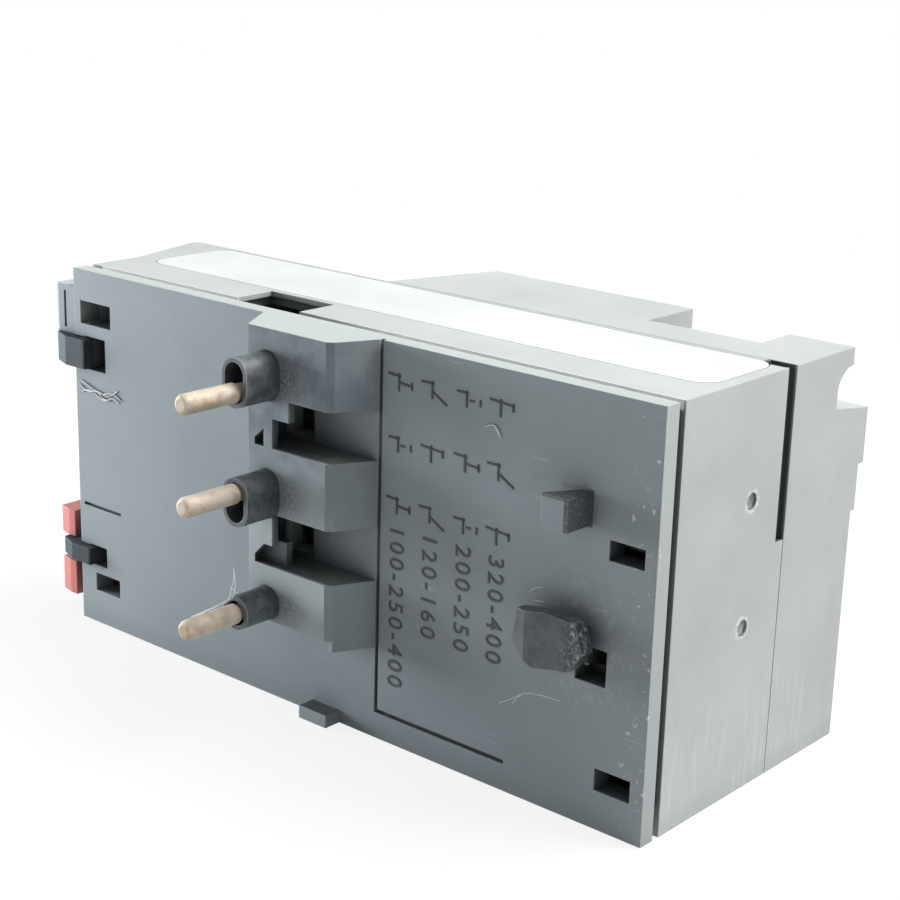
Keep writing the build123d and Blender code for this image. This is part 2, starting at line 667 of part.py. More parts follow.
def make_screw(head_x, tip_x, y, z, shank_r, head_r, head):
    """Clamp screw with a domed head and a cross recess."""
    outline = domed(head_x + head, head_r, head * 0.35) + [(head_x, head_r), (head_x, shank_r)]
    outline += [(tip_x, shank_r), (tip_x, 0)]
    screw = turned_x(outline, y, z)
    arm, thin, deep = head_r * 0.62, head_r * 0.14, head * 0.6
    top = head_x + head
    screw -= block(top + 1, top - deep, y - arm, y + arm, z - thin, z + thin)
    return screw - block(top + 1, top - deep, y - thin, y + thin, z - arm, z + arm)


def make_cage(spec, y, z, shank_r):
    """Clamp cage: an open frame round wire and bar, with the screw hole."""
    x0, x1, half, deep, thick = spec
    cage = block(x0, x1, y - deep, y + deep, z - half, z + half)
    cage = fillet(cage.edges().filter_by(Axis.Y), thick * 0.5)
    cage -= block(x0 - thick, x1 + thick, y - deep - 1, y + deep + 1, z - half + thick, z + half - thick)
    return cage - rod_x(x0 + 1, x0 - thick - 0.5, y, z, shank_r + running_gap)


def make_aux_bar(index, z):
    """Auxiliary terminal bar; the first two reach over to the break contacts."""
    bar_x, half = aux_tip - 0.1, 1.8
    top = 5.0 if index < 2 else 6.6
    bar = block(bar_x, bar_x - aux_bar, top, aux_y + 2.2, z - half, z + half)
    if index < 2:
        end = carrier_x[1] - 2.7
        bar += block(bar_x, end, top, top + aux_bar, z - half, z + half)
        bar += block(end + aux_bar, end, top, contact_y + 1.3, z - half, z + half)
        return bar + rod_x(end + aux_bar + 0.6, end + aux_bar, contact_y, z, 1.0)
    return bar + rod_x(bar_x - aux_bar, bar_x - aux_bar - 0.6, contact_y, z, 1.0)


def make_bridge(face, thick, dome, pair):
    """Contact bridge lying on the carrier, with two round contacts."""
    outer = face + thick
    bridge = block(face, outer, contact_y - 1.2, contact_y + 1.2, pair[0] - 1.5, pair[1] + 1.5)
    for z in pair:
        bridge += rod_x(outer, outer + dome, contact_y, z, 1.0)
    return bridge


def make_carrier():
    """Contact carrier that joins both bridges."""
    half = middle - 4.5
    return block(*carrier_x, contact_y - 1.7, contact_y + 1.7, middle - half, middle + half)


def make_comb(spine0, spine1, tooth0, tooth1, low, high):
    """Trip comb: a spine along Z with one tooth beside each bimetal strip."""
    x0, x1 = comb_x
    comb = block(x0, x1, spine0, spine1, 3.5, body_width - 4.0)
    for z in phase_z:
        comb += block(x0, x1, tooth0, tooth1, z + low, z + high)
    return comb


def make_lever():
    """Trip lever on its bearing post, with a prong down to the trip comb."""
    y0, y1 = lever_y
    lever = rod_y(lever_x, y0, y1, lever_z, 3.2)
    prong, tip = bulkhead_x[0] + 1.7, carrier_x[1] - 1.3
    lever += bar_between(lever_x, lever_z, prong, lever_z + 1.6, 1.3, y0, y1)
    lever += bar_between(lever_x, lever_z, tip, lever_z + 8.4, 1.2, y0, y1)
    lever += block(tip + 0.9, tip - 1.0, y0, y1, lever_z + 7.6, lever_z + 9.4)
    lever += block(prong + 1.0, prong - 1.0, y0, deep_floor - 1.1, lever_z + 0.7, lever_z + 2.5)
    return lever - rod_y(lever_x, y0 - 1, y1 + 1, lever_z, lever_bore + running_gap)


tooth_gap = strip_thick / 2 + seat_gap
tooth_end = tooth_gap + 1.4
trip_comb = make_comb(18.2, 20.2, 13.0, 18.4, tooth_gap, tooth_end)
trip_comb += block(bulkhead_x[0] + 2.7, comb_x[0], 18.4, 20.0, lever_z - 2.0, lever_z + 0.4)
compensation = block(lever_x - 4.5, bulkhead_x[0] + 3.9, lever_y[1], 16.0, lever_z + 0.9, lever_z + 1.6)
nodes = {
    "main_case": make_case(),
    "pin_plate": make_plate(),
    "terminal_block": make_block(),
    "terminal_module": make_module(),
    "latch_hook": make_hook(),
    "front_fascia": make_fascia(),
    "side_label": label_shape(label_area, 0, label_thick),
    "clear_cover": make_cover(),
    "stop_button": make_stop(),
    "setting_dial": make_dial(),
    "reset_plunger": make_reset_plunger(),
    "reset_button": make_reset_button(),
    "test_button": make_test_button(),
    "trip_flag": block(*flag_x, *flag_y, test_z - 5.2, test_z - 1.5),
    "trip_slider": trip_comb,
    "differential_slider": make_comb(8.2, 10.2, 10.0, 17.5, -tooth_end, -tooth_gap),
    "trip_lever": make_lever(),
    "compensation_strip": compensation,
    "contact_carrier": make_carrier(),
    "bridge_make": make_bridge(carrier_x[0], 0.6, 0.6, aux_z[2:]),
    "bridge_break": make_bridge(carrier_x[1], -0.6, -0.65, aux_z[:2]),
}
power_sizes = (power_screw_r, power_head_r, power_head)
aux_sizes = (aux_screw_r, aux_head_r, aux_head)
for n, z in enumerate(phase_z):
    nodes[f"sleeve_{n + 1}"] = make_sleeve(n)
    nodes[f"pin_{n + 1}"] = make_pin(n)
    nodes[f"bimetal_{n + 1}"] = make_strip(z)
    nodes[f"heater_{n + 1}"] = make_heater(z)
    nodes[f"terminal_bar_{n + 1}"] = make_terminal_bar(z)
    nodes[f"power_screw_{n + 1}"] = make_screw(power_seat, power_tip, power_y, z, *power_sizes)
    nodes[f"power_cage_{n + 1}"] = make_cage(power_cage, power_y, z, power_screw_r)
for n, z in enumerate(aux_z):
    nodes[f"aux_bar_{n + 1}"] = make_aux_bar(n, z)
    nodes[f"aux_screw_{n + 1}"] = make_screw(aux_seat, aux_tip, aux_y, z, *aux_sizes)
    nodes[f"aux_cage_{n + 1}"] = make_cage(aux_cage, aux_y, z, aux_screw_r)

# The origin goes to the middle of the resting side
boxes = [shape.bounding_box() for shape in nodes.values()]
middle_x = (min(b.min.X for b in boxes) + max(b.max.X for b in boxes)) / 2
middle_y = (min(b.min.Y for b in boxes) + max(b.max.Y for b in boxes)) / 2
floor_z = min(b.min.Z for b in boxes)
os.makedirs("parts", exist_ok=True)
for name, shape in nodes.items():
    export_step(Pos(-middle_x, -middle_y, -floor_z) * shape, f"parts/{name}.step")
print("origin", round(middle_x, 4), round(middle_y, 4), round(floor_z, 4), "nodes", len(nodes))
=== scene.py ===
import bpy
import math
import random
from mathutils import Matrix, Vector


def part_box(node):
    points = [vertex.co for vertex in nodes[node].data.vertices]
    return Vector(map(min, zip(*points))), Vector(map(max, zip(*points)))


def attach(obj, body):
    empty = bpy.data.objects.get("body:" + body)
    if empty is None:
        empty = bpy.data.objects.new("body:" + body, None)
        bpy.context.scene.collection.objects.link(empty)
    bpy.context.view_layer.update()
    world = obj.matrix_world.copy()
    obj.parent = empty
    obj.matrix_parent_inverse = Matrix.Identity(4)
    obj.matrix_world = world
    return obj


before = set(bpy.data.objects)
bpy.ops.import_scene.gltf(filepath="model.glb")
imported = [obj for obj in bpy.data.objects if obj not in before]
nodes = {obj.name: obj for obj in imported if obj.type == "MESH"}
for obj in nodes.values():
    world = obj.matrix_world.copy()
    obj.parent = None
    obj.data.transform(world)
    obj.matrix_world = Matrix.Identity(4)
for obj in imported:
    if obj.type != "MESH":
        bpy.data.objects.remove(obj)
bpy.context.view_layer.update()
MM = 0.001

# part.py counts X back from the rear face and Y from the pin face, and its terminal block ends this
# many mm behind the pin face; this is where the two faces are here
BLOCK_DEPTH = 38.4
REAR_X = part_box("main_case")[1].x
PIN_FACE_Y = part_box("terminal_block")[1].y - BLOCK_DEPTH * MM


def at(back, y, z):
    """Point from a distance in front of the rear face, a depth behind the pin face and a height, in mm."""
    return Vector((REAR_X - back * MM, PIN_FACE_Y + y * MM, z * MM))


# Materials
def socket(node, name, value):
    node.inputs[name].default_value = value


class Tree:
    """Short ways to fill the empty node tree of a material or a world."""

    def __init__(self, owner):
        owner.use_nodes = True
        self.tree = owner.node_tree
        self.tree.nodes.clear()

    def add(self, kind, **values):
        node = self.tree.nodes.new(kind)
        for key, value in values.items():
            setattr(node, key, value)
        return node

    def link(self, source, target):
        self.tree.links.new(source, target)

    def ramp(self, source, low, high, start=0.0, end=1.0):
        """Maps a value from the range low..high to start..end."""
        node = self.add("ShaderNodeMapRange")
        for name, value in zip(("From Min", "From Max", "To Min", "To Max"), (low, high, start, end)):
            socket(node, name, value)
        self.link(source, node.inputs["Value"])
        return node.outputs[0]

    def mix(self, factor, first, second):
        """Colour mix; each colour is a tuple or a socket."""
        node = self.add("ShaderNodeMix", data_type="RGBA")
        self.link(factor, node.inputs[0])
        for index, value in ((6, first), (7, second)):
            if isinstance(value, tuple):
                node.inputs[index].default_value = (*value, 1.0)
            else:
                self.link(value, node.inputs[index])
        return node.outputs[2]

    def maths(self, kind, first, second):
        node = self.add("ShaderNodeMath", operation=kind)
        for index, value in enumerate((first, second)):
            if isinstance(value, (int, float)):
                node.inputs[index].default_value = value
            else:
                self.link(value, node.inputs[index])
        return node.outputs[0]

    def seen(self):
        """1 for rays of the camera, gloss and glass, 0 for the others."""
        path = self.add("ShaderNodeLightPath").outputs
        glass = self.maths("MAXIMUM", path["Is Glossy Ray"], path["Is Transmission Ray"])
        return self.maths("MAXIMUM", path["Is Camera Ray"], glass)


class Mat(Tree):
    """One material of the object: a principled shader and the masks that colour it."""

    def __init__(self, name):
        self.material = bpy.data.materials.new(name)
        super().__init__(self.material)
        out = self.add("ShaderNodeOutputMaterial")
        self.shader = self.add("ShaderNodeBsdfPrincipled")
        self.link(self.shader.outputs[0], out.inputs["Surface"])
        self.coords = self.add("ShaderNodeTexCoord").outputs["Object"]

    def noise(self, per_mm, detail=3.0, rough=0.55, stretch=None):
        """Noise with about this many cells per millimetre."""
        coords = self.coords
        if stretch:
            mapping = self.add("ShaderNodeMapping")
            socket(mapping, "Scale", stretch)
            self.link(coords, mapping.inputs["Vector"])
            coords = mapping.outputs[0]
        node = self.add("ShaderNodeTexNoise")
        socket(node, "Scale", per_mm / MM)
        socket(node, "Detail", detail)
        socket(node, "Roughness", rough)
        self.link(coords, node.inputs["Vector"])
        return node.outputs["Fac"]

    def near(self, point, inner, outer):
        """1 within inner mm of a point, falling to 0 at outer mm."""
        node = self.add("ShaderNodeVectorMath", operation="DISTANCE")
        self.link(self.coords, node.inputs[0])
        node.inputs[1].default_value = point
        return self.ramp(node.outputs["Value"], inner * MM, outer * MM, 1.0, 0.0)

    def axis(self, index, source=None):
        """One coordinate of a vector, or of the place on the object."""
        node = self.add("ShaderNodeSeparateXYZ")
        self.link(source or self.coords, node.inputs[0])
        return node.outputs[index]

    def normal(self, index):
        """One coordinate of the face's own normal."""
        return self.axis(index, self.add("ShaderNodeNewGeometry").outputs["Normal"])

    def region(self, first, second, soft=0.15):
        """1 inside the box between two corners, falling to 0 over soft mm."""
        inside = None
        for index in range(3):
            low, high = sorted((first[index], second[index]))
            value = self.axis(index)
            band = self.maths("MULTIPLY", self.ramp(value, low - soft * MM, low),
                              self.ramp(value, high, high + soft * MM, 1.0, 0.0))
            inside = band if inside is None else self.maths("MULTIPLY", inside, band)
        return inside

    def upward(self):
        """1 on faces that look up, 0 on the others."""
        return self.ramp(self.normal(2), 0.5, 0.9)

    def shut(self, reach):
        """0 in the open, 1 deep in a corner or slot, judged within reach mm."""
        node = self.add("ShaderNodeAmbientOcclusion", samples=6)
        socket(node, "Distance", reach * MM)
        return self.ramp(node.outputs["AO"], 0.25, 0.92, 1.0, 0.0)

    def rim(self, width):
        """1 along the edges of the shape, 0 on its faces."""
        soft = self.add("ShaderNodeBevel", samples=6)
        socket(soft, "Radius", width * MM)
        dot = self.add("ShaderNodeVectorMath", operation="DOT_PRODUCT")
        self.link(soft.outputs[0], dot.inputs[0])
        self.link(self.add("ShaderNodeNewGeometry").outputs["Normal"], dot.inputs[1])
        return self.ramp(dot.outputs["Value"], 0.98, 0.86)

    def finish(self, colour, rough, bump, strength, distance, metal=0.0, edge=0.25, specular=0.5):
        """Feeds the shader: colour and roughness sockets, and a bump over softened edges."""
        shader = self.shader
        self.link(colour, shader.inputs["Base Color"])
        self.link(rough, shader.inputs["Roughness"])
        socket(shader, "Metallic", metal)
        socket(shader, "Specular IOR Level", specular)
        node = self.add("ShaderNodeBump")
        socket(node, "Strength", strength)
        socket(node, "Distance", distance * MM)
        self.link(bump, node.inputs["Height"])
        if edge:
            soft = self.add("ShaderNodeBevel", samples=4)
            socket(soft, "Radius", edge * MM)
            self.link(soft.outputs[0], node.inputs["Normal"])
        self.link(node.outputs[0], shader.inputs["Normal"])
        return self.material


DUST = (0.66, 0.67, 0.66)


def plastic(name, colour, rough=0.55, grain=6.0, strength=0.25, dust=0.25, edge=0.25, specular=0.5,
            edge_wear_and_glint=0.35, corner_shade=0.85, reach=3.0, rim=0.22, extra=None, shade_free=None):
    """Moulded plastic: fine grain, faint flow marks, pale edges that are partly rubbing and partly painted
    highlight, dust, and painted shade in its corners.
    """
    m = Mat(name)
    cloud = m.noise(0.06, 4.0, 0.6)
    fine = m.noise(grain, 2.0, 0.6)
    flow = m.noise(0.22, 3.0, 0.6, stretch=(0.25, 1.0, 1.0))
    darker = tuple(c * 0.88 for c in colour)
    lighter = tuple(min(1.0, c * 1.08 + 0.01) for c in colour)
    base = m.mix(m.ramp(cloud, 0.3, 0.7), darker, lighter)
    base = m.mix(m.ramp(flow, 0.35, 0.75, 0.0, 0.35), base, colour)
    if extra:
        base = extra(m, base)
    specks = m.ramp(m.noise(2.2, 6.0, 0.75), 0.66, 0.74)
    patches = m.ramp(m.noise(0.12, 3.0, 0.6), 0.45, 0.7)
    powder = m.maths("MULTIPLY", m.maths("MULTIPLY", specks, patches), dust)
    base = m.mix(powder, base, DUST)
    # Painted shade: darker deep in corners and slots, judged by ambient occlusion, and less near the floor
    shut = m.maths("MULTIPLY", m.shut(reach), m.ramp(m.axis(2), 0.0, 4.0 * MM, 0.15, 1.0))
    # Pale edges: partly rubbing and partly painted highlights along the rims
    open_edge = m.maths("MULTIPLY", m.rim(rim), m.ramp(shut, 0.0, 0.35, 1.0, 0.0))
    rubbed = m.maths("MULTIPLY", open_edge, m.ramp(m.noise(0.5, 4.0, 0.7), 0.35, 0.65, 0.25 * edge_wear_and_glint, edge_wear_and_glint))
    pale_edge = tuple(min(1.0, c * 0.6 + 0.36) for c in colour)
    base = m.mix(rubbed, base, pale_edge)
    # The painted corner shade is kept off where the given mask says, then mixed into the colour
    if shade_free:
        shut = m.maths("MULTIPLY", shut, m.maths("SUBTRACT", 1.0, shade_free(m)))
    base = m.mix(m.maths("MULTIPLY", shut, corner_shade), base, tuple(c * 0.16 for c in colour))
    roughness = m.ramp(cloud, 0.3, 0.7, rough - 0.07, rough + 0.07)
    return m.finish(base, roughness, fine, strength, 0.05, edge=edge, specular=specular)


def metal(name, colour, rough=0.35, stretch=(1.0, 1.0, 1.0), tarnish=(0.3, 0.25, 0.2), amount=0.35, edge=0.15):
    """Worked metal: drawn streaks, tarnish in patches and small pits."""
    m = Mat(name)
    streak = m.noise(1.6, 4.0, 0.65, stretch=stretch)
    patch = m.noise(0.35, 5.0, 0.65)
    pale = tuple(min(1.0, c * 1.08) for c in colour)
    base = m.mix(m.ramp(streak, 0.35, 0.65), colour, pale)
    base = m.mix(m.ramp(patch, 0.45, 0.75, 0.0, amount), base, tarnish)
    roughness = m.ramp(streak, 0.3, 0.7, rough - 0.08, rough + 0.12)
    return m.finish(base, roughness, streak, 0.25, 0.04, metal=1.0, edge=edge)


# Painted colours: shade in slots, channels, at the bosses' foot and on the tab, deeper shade, painted light on
# the plate's side faces and on its joint, and pale rubbed rims
SHADE_DARK = (0.035, 0.042, 0.05)
NEAR_BLACK = (0.008, 0.01, 0.014)
SIDE_LIGHT_PALE = (0.43, 0.465, 0.44)
JOINT_LIGHT_PALE = (0.68, 0.70, 0.67)
RUB_PALE = (0.85, 0.86, 0.84)

# Places in mm, as in at(): roots of the three sleeves, hook, mould marks of the rear face
BOSS_TOPS = [at(44.4, -5.1, z) for z in (14.4, 26.6, 40.0)]
HOOK = at(8.0, -1.5, 19.5)
REAR_MARKS = ((16.1, 32.2), (15.9, 18.7))
# Heights of the channels between the bosses, and of the fascia's two snap arms
CHANNELS = ((18.35, 24.55), (31.85, 37.55))
ARMS = ((7.6, 10.1), (32.8, 36.7))
# The plate's slots and the bosses lie between these distances from the rear face
SLOTS = ((84.5, 52.0), (34.0, 1.0))
BOSS_BACK = (50.6, 36.0)
# How far the bosses stand out from the pin face
BOSS_RISE = 4.9
# Slanted side and top of the small tab, where shade is painted
TAB_SIDES = ((at(8.5, -3.7, 31.4), at(7.8, 0.0, 35.1)), (at(11.5, -3.7, 34.75), at(7.8, -0.1, 35.1)))


def product(m, *values):
    """Product of several masks."""
    result = values[0]
    for value in values[1:]:
        result = m.maths("MULTIPLY", result, value)
    return result


def top_joint(m):
    """1 where light is painted on the plate's joint at the top: in front of the window, and towards the rear.
    """
    front = m.region(at(85.0, 2.05, 44.1), at(60.5, 3.2, 45.2))
    rear = m.region(at(57.0, 2.05, 44.1), at(0.3, 3.2, 45.2))
    fading = m.ramp(m.axis(0), at(56.0, 0, 0).x, at(38.0, 0, 0).x)
    return m.maths("MAXIMUM", front, m.maths("MULTIPLY", rear, fading))


def plate_shade_free(m):
    """1 at the joint, and less on the floors of the two channels; the painted corner shade stays off there."""
    result = top_joint(m)
    for low, high in CHANNELS:
        haze = m.region(at(42.0, -0.3, low + 1.0), at(36.2, 0.3, high - 1.0), 1.0)
        result = m.maths("MAXIMUM", result, m.maths("MULTIPLY", haze, 0.65))
    return result


def case_wear_light_and_shade(m, base):
    """Painted light on the top joint, painted shade in the rear slot, rough mould marks with pale rims, and rub
    marks low on the rear face.
    """
    # Painted light on the joint at the top
    base = m.mix(top_joint(m), base, JOINT_LIGHT_PALE)
    # Painted shade in the rear slot
    slot = m.region(at(3.3, 21.1, 26.4), at(0.3, 22.85, 45.3))
    base = m.mix(m.maths("MULTIPLY", slot, 0.9), base, (0.02, 0.022, 0.02))
    rough = m.ramp(m.noise(2.4, 4.0, 0.7), 0.4, 0.6)
    for y, z in REAR_MARKS:
        point = at(0.0, y, z)
        rim = m.maths("MULTIPLY", m.near(point, 1.0, 1.5), m.maths("SUBTRACT", 1.0, m.near(point, 0.5, 0.8)))
        base = m.mix(product(m, rim, rough, 0.7), base, RUB_PALE)
        base = m.mix(product(m, m.near(point, 0.4, 0.8), rough, 0.8), base, (0.06, 0.065, 0.06))
    low = m.region(at(0.2, 3.0, 0.0), at(-0.1, 30.0, 9.0), 4.0)
    rubs = m.ramp(m.noise(1.4, 3.0, 0.6, stretch=(1.0, 1.0, 0.08)), 0.5, 0.75, 0.0, 0.25)
    return m.mix(m.maths("MULTIPLY", low, rubs), base, (0.8, 0.81, 0.79))


def plate_wear_light_and_shade(m, base):
    """Painted light on the plate's side faces, its joint, the lower boss fronts and the lower front end;
    painted shade in the slots and channels, at the bosses' foot, on their slanted sides, on the tab and towards
    the lower rear end; dark smudges heavier on the upper bosses, dust, chips and faint scratches.
    """
    # Painted light: the plate's faces that do not look towards the pins' side are paler
    base = m.mix(m.ramp(m.normal(1), -0.5, -0.2), base, SIDE_LIGHT_PALE)
    # Painted light on the joint at the top
    base = m.mix(top_joint(m), base, JOINT_LIGHT_PALE)
    # Painted shade inside the plate's slots
    for first, second in SLOTS:
        slots = m.region(at(first, 0.25, 1.0), at(second, 3.6, 44.0))
        base = m.mix(m.maths("MULTIPLY", slots, 0.88), base, SHADE_DARK)
    # Painted shade on the upward faces at the foot of the bosses
    foot = m.region(at(47.5, -4.0, 0.3), at(40.0, 0.1, 2.5))
    base = m.mix(product(m, foot, m.upward(), 0.9), base, SHADE_DARK)
    raised = m.ramp(m.axis(1), PIN_FACE_Y - 0.6 * MM, PIN_FACE_Y - BOSS_RISE * MM, 0.75, 1.0)
    bosses = m.region(at(BOSS_BACK[0], -6.0, 0), at(BOSS_BACK[1], -0.2, 45))
    raised = product(m, raised, bosses, m.maths("SUBTRACT", 1.0, m.upward()))
    smudge = m.ramp(m.noise(0.25, 3.0, 0.6), 0.42, 0.6, 0.4, 1.0)
    # Painted light: the fronts of the lower bosses are paler
    lower = m.ramp(m.axis(2), 24 * MM, 33 * MM, 0.85, 0.0)
    base = m.mix(m.maths("MULTIPLY", raised, lower), base, (0.52, 0.58, 0.57))
    upper = m.ramp(m.axis(2), 24 * MM, 36 * MM, 0.1, 0.85)
    base = m.mix(product(m, raised, smudge, upper), base, (0.13, 0.16, 0.19))
    # Painted shade on the bosses' sides that slant towards the rear
    turned = m.ramp(m.normal(0), 0.2, 0.4)
    base = m.mix(product(m, raised, turned, 0.6), base, (0.14, 0.16, 0.175))
    # Painted shade, darkening the plate towards its lower rear end
    shade_low_rear = m.maths("MULTIPLY", m.near(at(6.0, 0.0, 2.0), 4.0, 48.0), 0.38)
    base = m.mix(shade_low_rear, base, (0.18, 0.205, 0.215))
    # Painted light, lightening the plate towards its lower front end
    light_low_front = m.maths("MULTIPLY", m.near(at(80.0, 0.0, 2.0), 3.0, 34.0), 0.55)
    base = m.mix(light_low_front, base, (0.52, 0.57, 0.57))
    grit = m.ramp(m.noise(3.0, 6.0, 0.8), 0.5, 0.68)
    # Darker around the roots of the sleeves, with dust
    for point in BOSS_TOPS:
        here = m.near(point, 0.5, 3.6)
        base = m.mix(m.maths("MULTIPLY", here, 0.6), base, (0.09, 0.10, 0.10))
        base = m.mix(product(m, here, grit, 0.9), base, DUST)
    flecks = m.ramp(m.noise(1.5, 6.0, 0.8), 0.6, 0.7)
    # Painted shade in the channels, black on their upward faces, with dust
    for low, high in CHANNELS:
        channel = m.region(at(50.3, -4.7, low), at(36.2, 0.3, high))
        fading = m.ramp(m.axis(0), at(46.0, 0, 0).x, at(39.5, 0, 0).x, 0.6, 0.05)
        base = m.mix(m.maths("MULTIPLY", channel, fading), base, SHADE_DARK)
        base = m.mix(product(m, channel, m.upward(), 0.7), base, NEAR_BLACK)
        base = m.mix(product(m, channel, flecks, 0.55), base, DUST)
    coarse = m.ramp(m.noise(1.1, 6.0, 0.8), 0.5, 0.7)
    base = m.mix(product(m, m.near(HOOK, 3.0, 8.5), coarse, 0.5), base, DUST)
    # Painted shade on the tab's slanted side and top, with dust
    for first, second in TAB_SIDES:
        shaded = m.region(first, second)
        base = m.mix(m.maths("MULTIPLY", shaded, 0.92), base, SHADE_DARK)
        base = m.mix(product(m, shaded, grit, 0.3), base, DUST)
    chips = m.ramp(m.noise(1.3, 4.0, 0.6), 0.63, 0.68)
    base = m.mix(product(m, m.region(at(3.2, -0.2, 0), at(0, 0.4, 45)), chips, 0.8), base, DUST)
    lines = m.noise(1.2, 2.0, 0.5, stretch=(0.12, 1.0, 1.6))
    worn_parts = m.ramp(m.noise(0.1, 2.0, 0.5), 0.52, 0.62, 0.0, 0.3)
    return m.mix(m.maths("MULTIPLY", m.ramp(lines, 0.70, 0.73), worn_parts), base, (0.6, 0.62, 0.62))


def hook_wear_and_shade(m, base):
    """Dark blotches on the hook's head, and painted shade with dust on its side towards the hole."""
    base = m.mix(m.ramp(m.noise(0.45, 4.0, 0.7), 0.46, 0.62, 0.0, 0.7), base, (0.022, 0.026, 0.028))
    # Painted shade on the side towards the hole
    root = m.ramp(m.axis(0), at(8.8, 0, 0).x, at(7.0, 0, 0).x)
    base = m.mix(m.maths("MULTIPLY", root, 0.75), base, (0.014, 0.016, 0.018))
    grit = m.ramp(m.noise(1.6, 6.0, 0.8), 0.5, 0.66)
    return m.mix(product(m, root, grit, 0.6), base, DUST)


def blotched(m, base):
    """Dark rubbed patches and a little dust in them."""
    base = m.mix(m.ramp(m.noise(0.5, 5.0, 0.7), 0.42, 0.6, 0.0, 0.65), base, (0.02, 0.026, 0.03))
    return m.mix(m.ramp(m.noise(1.8, 6.0, 0.8), 0.6, 0.74, 0.0, 0.4), base, DUST)


def arm_shade(m, base):
    """Painted shade on the snap arms, darker still on their ends by the holes."""
    for low, high in ARMS:
        arm = m.region(at(91.5, -6.0, low), at(83.8, 0.45, high))
        base = m.mix(m.maths("MULTIPLY", arm, 0.9), base, (0.06, 0.075, 0.085))
        end = m.region(at(84.25, -1.2, low), at(83.8, 2.2, high))
        base = m.mix(m.maths("MULTIPLY", end, 0.85), base, (0.03, 0.038, 0.045))
    return base


PLATE = (0.31, 0.35, 0.362)
CASE = (0.44, 0.465, 0.435)
housing = plastic("housing_plastic", CASE, rough=0.6, edge=0.2, corner_shade=0.95, extra=case_wear_light_and_shade, shade_free=top_joint)
plate_skin = plastic("pin_plate_plastic", PLATE, rough=0.6, dust=0.35, edge=0.15, edge_wear_and_glint=0.5, extra=plate_wear_light_and_shade,
                     shade_free=plate_shade_free)
dark = plastic("dark_plastic", (0.075, 0.085, 0.09), rough=0.42, grain=4.0, dust=0.9, edge=0.15, edge_wear_and_glint=0.6)
hook = plastic("hook_plastic", (0.075, 0.085, 0.09), rough=0.42, grain=4.0, dust=0.9, edge=0.12, edge_wear_and_glint=0.7,
               extra=hook_wear_and_shade)
sleeve = plastic("sleeve_plastic", (0.12, 0.14, 0.145), rough=0.5, grain=3.0, dust=1.0, edge=0.1, edge_wear_and_glint=1.4,
                 rim=0.3, extra=blotched)
fascia = plastic("fascia_plastic", (0.42, 0.46, 0.47), rough=0.62, edge=0.15, specular=0.12, extra=arm_shade)
red = plastic("red_plastic", (0.82, 0.25, 0.21), rough=0.45, dust=0.3, edge=0.15)
blue = plastic("blue_plastic", (0.03, 0.12, 0.45), rough=0.4, dust=0.1, edge=0.15)
pale = plastic("pale_plastic", (0.72, 0.72, 0.68), rough=0.5, dust=0.1, edge=0.15)
signal = plastic("signal_plastic", (0.85, 0.33, 0.04), rough=0.5, dust=0.0, edge=0.1)
label = plastic("label_film", (0.62, 0.625, 0.615), rough=0.55, grain=2.0, strength=0.1, dust=0.0, edge=0.0,
                edge_wear_and_glint=0.0, corner_shade=0.2)
# Raised legend marks: near-black as painted shade of their relief, with pale rims that are partly rubbing and
# partly painted glints
relief = plastic("relief_plastic", (0.045, 0.055, 0.062), rough=0.55, dust=0.9, edge=0.0, edge_wear_and_glint=0.8, rim=0.1)
ink = plastic("print_ink", (0.04, 0.04, 0.04), rough=0.6, dust=0.1, edge=0.0, edge_wear_and_glint=0.0)
fibre = plastic("lint_fibre", (0.95, 0.95, 0.94), rough=0.8, grain=8.0, dust=0.0, edge=0.0, edge_wear_and_glint=0.0, corner_shade=0.0)
tinned = metal("tinned_copper", (0.58, 0.52, 0.44), 0.78, (1.0, 0.25, 1.0), (0.34, 0.24, 0.17), 0.8)
contact = metal("contact_metal", (0.78, 0.62, 0.38), 0.3, (0.3, 1.0, 1.0))
bimetal = metal("bimetal_strip", (0.58, 0.57, 0.53), 0.35, (0.15, 1.0, 1.0))
heater = metal("heater_wire", (0.40, 0.37, 0.35), 0.5, (1.0, 1.0, 1.0), (0.2, 0.13, 0.1), 0.6)
steel = metal("zinc_steel", (0.66, 0.66, 0.64), 0.33, (1.0, 1.0, 1.0), (0.45, 0.43, 0.38), 0.3)

clear = Mat("clear_plastic")
haze = clear.noise(0.3, 3.0)
clear.finish(clear.mix(haze, (0.9, 0.93, 0.95), (0.82, 0.86, 0.88)), clear.ramp(haze, 0.3, 0.7, 0.06, 0.16),
             haze, 0.1, 0.02, edge=0.15)
socket(clear.shader, "Transmission Weight", 0.92)
socket(clear.shader, "IOR", 1.49)
clear = clear.material

by_node = {
    "main_case": housing, "pin_plate": plate_skin, "terminal_block": housing, "terminal_module": housing,
    "latch_hook": hook, "front_fascia": fascia, "side_label": label, "clear_cover": clear,
    "stop_button": red, "setting_dial": pale, "reset_plunger": dark, "reset_button": blue,
    "test_button": red, "trip_flag": signal, "trip_slider": pale, "differential_slider": pale,
    "trip_lever": dark, "compensation_strip": bimetal, "contact_carrier": dark, "bridge_make": contact,
    "bridge_break": contact,
}
by_stem = {
    "sleeve": sleeve, "pin": tinned, "bimetal": bimetal, "heater": heater, "terminal_bar": contact,
    "power_screw": steel, "power_cage": steel, "aux_bar": contact, "aux_screw": steel, "aux_cage": steel,
}
for name, obj in nodes.items():
    material = by_node.get(name) or by_stem[name.rsplit("_", 1)[0]]
    obj.data.materials.clear()
    obj.data.materials.append(material)


def add_piece(name, mesh, material, body):
    """Turns a mesh into a piece that rides a body of the frame."""
    obj = bpy.data.objects.new(name, mesh)
    bpy.context.scene.collection.objects.link(obj)
    mesh.materials.append(material)
    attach(obj, body)


